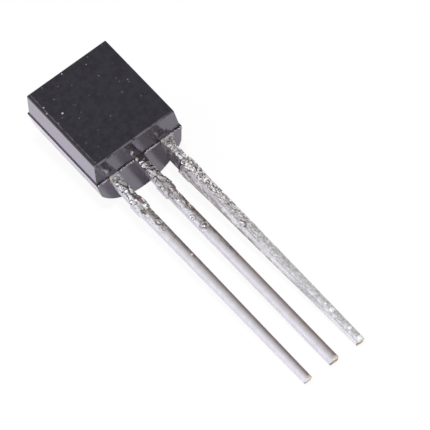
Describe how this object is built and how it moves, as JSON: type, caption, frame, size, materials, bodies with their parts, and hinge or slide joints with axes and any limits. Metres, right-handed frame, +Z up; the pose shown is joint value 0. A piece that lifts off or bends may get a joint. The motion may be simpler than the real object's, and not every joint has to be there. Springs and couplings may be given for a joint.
{
  "type": "to-92 transistor",
  "caption": "Small moulded transistor with a flat front, a round back and a row of straight tinned leads, lying flat side up on its back and lead tips.",
  "frame": {"origin": "middle of the part's footprint, on the surface that it rests on", "axes": "+Y from the lead tips towards the closed end of the body, +X across the leads from the emitter's to the collector's, +Z up from the table; the flat front faces up, leaning 8.3 degrees towards the leads"},
  "size_m": [0.0042, 0.0172, 0.004],
  "materials": {
    "moulding_compound": "satin black epoxy moulding compound",
    "tinned_lead": "hot-dip tinned, rough near the body and smooth towards the tips",
    "silicon": "dark polished silicon with metal pads",
    "die_solder": "dull solder",
    "gold_wire": "drawn gold wire"
  },
  "bodies": {
    "root": {"molded_body": "moulding_compound", "emitter_lead": "tinned_lead", "base_lead": "tinned_lead", "collector_lead": "tinned_lead", "silicon_chip": "silicon", "chip_solder": "die_solder", "emitter_wire": "gold_wire", "base_wire": "gold_wire"}
  },
  "joints": []
}
